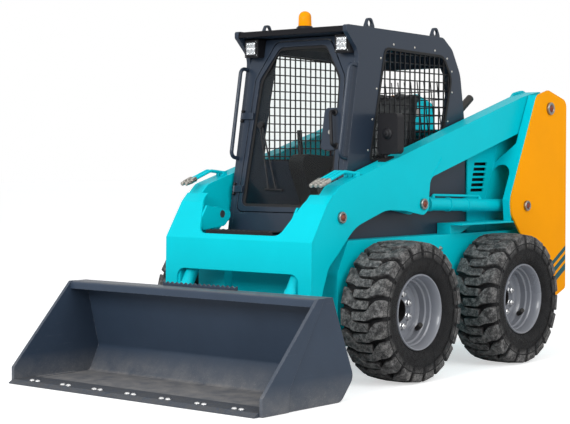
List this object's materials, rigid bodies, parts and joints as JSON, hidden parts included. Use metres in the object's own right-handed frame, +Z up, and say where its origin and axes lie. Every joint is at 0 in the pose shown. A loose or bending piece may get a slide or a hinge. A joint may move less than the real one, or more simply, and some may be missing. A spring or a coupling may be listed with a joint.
{
  "type": "skid-steer mini loader",
  "caption": "Compact wheeled loader with a mesh-sided cab over a low chassis, rear-pivoted lift arms and a wide tilting bucket for digging and moving soil.",
  "frame": {"origin": "on the ground, under the middle of the machine's box", "axes": "+X forward towards the bucket's lip, +Y to the machine's left, +Z up"},
  "size_m": [3.599, 1.924, 2.1959],
  "materials": {
    "teal_paint": "gloss paint",
    "amber_paint": "gloss paint",
    "slate_paint": "satin paint",
    "bucket_paint": "worn satin paint",
    "bare_edge": "ground bare",
    "rim_paint": "gloss silver paint",
    "tyre": "matt",
    "black_steel": "satin",
    "zinc": "plated",
    "rod_chrome": "polished",
    "engine": "rough",
    "glass": "clear",
    "amber_lens": "clear amber",
    "lamp_lens": "clear",
    "seat_vinyl": "grained vinyl",
    "black_plastic": "grained"
  },
  "bodies": {
    "machine": {"chassis": "teal_paint", "axle_tubes": "teal_paint", "upright_pins": "zinc", "engine_block": "engine", "bay_deck": "teal_paint", "exhaust": "black_steel", "hinge_leaves": "black_steel", "tail_panels": "amber_paint", "uprights": "teal_paint", "side_louvres": "teal_paint", "cab_sides": "slate_paint", "roof": "slate_paint", "rear_wall": "slate_paint", "cab_floor": "black_steel", "front_frame": "slate_paint", "front_sill": "black_steel", "window_mesh": "black_steel", "lifting_eyes": "slate_paint", "beacon_base": "black_plastic", "beacon_lens": "amber_lens", "lamp_housings": "black_plastic", "lamp_lenses": "lamp_lens", "grab_handles": "slate_paint", "seat_base": "black_steel", "seat_cushion": "seat_vinyl", "seat_back": "seat_vinyl", "controls": "black_plastic"},
    "hood": {"hood": "teal_paint"},
    "rear_door": {"rear_door": "slate_paint"},
    "cab_door": {"door_frame": "slate_paint", "door_glass": "glass", "wiper": "black_plastic"},
    "lift_frame": {"lift_arms": "teal_paint", "cross_member": "teal_paint", "arm_pins": "zinc", "step_tread": "black_steel", "mirrors": "black_plastic", "aux_tubes": "teal_paint", "aux_couplers": "zinc"},
    "bucket_carrier": {"coupler": "black_steel", "coupler_pins": "zinc", "bucket": "bucket_paint", "cutting_edge": "bare_edge", "bucket_step": "bucket_paint"},
    "wheel_front_left": {"tyre_front_left": "tyre", "rim_front_left": "rim_paint"},
    "wheel_front_right": {"tyre_front_right": "tyre", "rim_front_right": "rim_paint"},
    "wheel_rear_left": {"tyre_rear_left": "tyre", "rim_rear_left": "rim_paint"},
    "wheel_rear_right": {"tyre_rear_right": "tyre", "rim_rear_right": "rim_paint"},
    "lift_barrel_left": {"lift_barrel_left": "teal_paint"},
    "lift_rod_left": {"lift_rod_left": "rod_chrome"},
    "tilt_barrel_left": {"tilt_barrel_left": "teal_paint"},
    "tilt_rod_left": {"tilt_rod_left": "rod_chrome"},
    "lift_barrel_right": {"lift_barrel_right": "teal_paint"},
    "lift_rod_right": {"lift_rod_right": "rod_chrome"},
    "tilt_barrel_right": {"tilt_barrel_right": "teal_paint"},
    "tilt_rod_right": {"tilt_rod_right": "rod_chrome"}
  },
  "joints": [
    {"name": "wheel_front_left_spin", "type": "hinge", "parent": "machine", "child": "wheel_front_left", "pos_m": [0.2585, 0.735, 0.412], "axis": [0, 1, 0], "continuous": true},
    {"name": "wheel_front_right_spin", "type": "hinge", "parent": "machine", "child": "wheel_front_right", "pos_m": [0.2585, -0.735, 0.412], "axis": [0, 1, 0], "continuous": true},
    {"name": "wheel_rear_left_spin", "type": "hinge", "parent": "machine", "child": "wheel_rear_left", "pos_m": [-0.8715, 0.735, 0.412], "axis": [0, 1, 0], "continuous": true},
    {"name": "wheel_rear_right_spin", "type": "hinge", "parent": "machine", "child": "wheel_rear_right", "pos_m": [-0.8715, -0.735, 0.412], "axis": [0, 1, 0], "continuous": true},
    {"name": "arm_lift", "type": "hinge", "parent": "machine", "child": "lift_frame", "pos_m": [-1.5495, 0, 1.633], "axis": [0, -1, 0], "range_deg": [0, 60]},
    {"name": "bucket_tilt", "type": "hinge", "parent": "lift_frame", "child": "bucket_carrier", "pos_m": [0.8835, 0, 0.17], "axis": [0, 1, 0], "range_deg": [-23, 98]},
    {"name": "hood_lift", "type": "hinge", "parent": "machine", "child": "hood", "pos_m": [-1.1365, 0, 1.5], "axis": [0, 1, 0], "range_deg": [0, 60]},
    {"name": "rear_door_swing", "type": "hinge", "parent": "machine", "child": "rear_door", "pos_m": [-1.7895, 0.426, 0.42], "axis": [0, 0, -1], "range_deg": [0, 100]},
    {"name": "cab_door_swing", "type": "hinge", "parent": "machine", "child": "cab_door", "pos_m": [0.48535, -0.42, 0.82671], "axis": [0.1714, 0, -0.9852], "range_deg": [0, 72]},
    {"name": "lift_barrel_left_swing", "type": "hinge", "parent": "machine", "child": "lift_barrel_left", "pos_m": [-1.2565, 0.512, 0.988], "axis": [0, -1, 0], "range_deg": [0, 57.57]},
    {"name": "lift_rod_left_slide", "type": "slide", "parent": "lift_barrel_left", "child": "lift_rod_left", "axis": [0.9995, 0, 0.0309], "range_m": [0, 0.7069]},
    {"name": "tilt_barrel_left_swing", "type": "hinge", "parent": "lift_frame", "child": "tilt_barrel_left", "pos_m": [0.6195, 0.41, 0.962], "axis": [0, 1, 0], "range_deg": [-0.73, 1.48]},
    {"name": "tilt_rod_left_slide", "type": "slide", "parent": "tilt_barrel_left", "child": "tilt_rod_left", "axis": [0.5128, 0, -0.8585], "range_m": [-0.0717, 0.2989]},
    {"name": "lift_barrel_right_swing", "type": "hinge", "parent": "machine", "child": "lift_barrel_right", "pos_m": [-1.2565, -0.512, 0.988], "axis": [0, -1, 0], "range_deg": [0, 57.57]},
    {"name": "lift_rod_right_slide", "type": "slide", "parent": "lift_barrel_right", "child": "lift_rod_right", "axis": [0.9995, 0, 0.0309], "range_m": [0, 0.7069]},
    {"name": "tilt_barrel_right_swing", "type": "hinge", "parent": "lift_frame", "child": "tilt_barrel_right", "pos_m": [0.6195, -0.41, 0.962], "axis": [0, 1, 0], "range_deg": [-0.73, 1.48]},
    {"name": "tilt_rod_right_slide", "type": "slide", "parent": "tilt_barrel_right", "child": "tilt_rod_right", "axis": [0.5128, 0, -0.8585], "range_m": [-0.0717, 0.2989]}
  ],
  "couplings": [
    {"joint": "lift_barrel_left_swing", "follows": "arm_lift", "ratio": 0.95117},
    {"joint": "lift_rod_left_slide", "follows": "arm_lift", "m_per_rad": 0.67317},
    {"joint": "tilt_barrel_left_swing", "follows": "bucket_tilt", "ratio": 0.01},
    {"joint": "tilt_rod_left_slide", "follows": "bucket_tilt", "m_per_rad": 0.17361},
    {"joint": "lift_barrel_right_swing", "follows": "arm_lift", "ratio": 0.95117},
    {"joint": "lift_rod_right_slide", "follows": "arm_lift", "m_per_rad": 0.67317},
    {"joint": "tilt_barrel_right_swing", "follows": "bucket_tilt", "ratio": 0.01},
    {"joint": "tilt_rod_right_slide", "follows": "bucket_tilt", "m_per_rad": 0.17361}
  ]
}
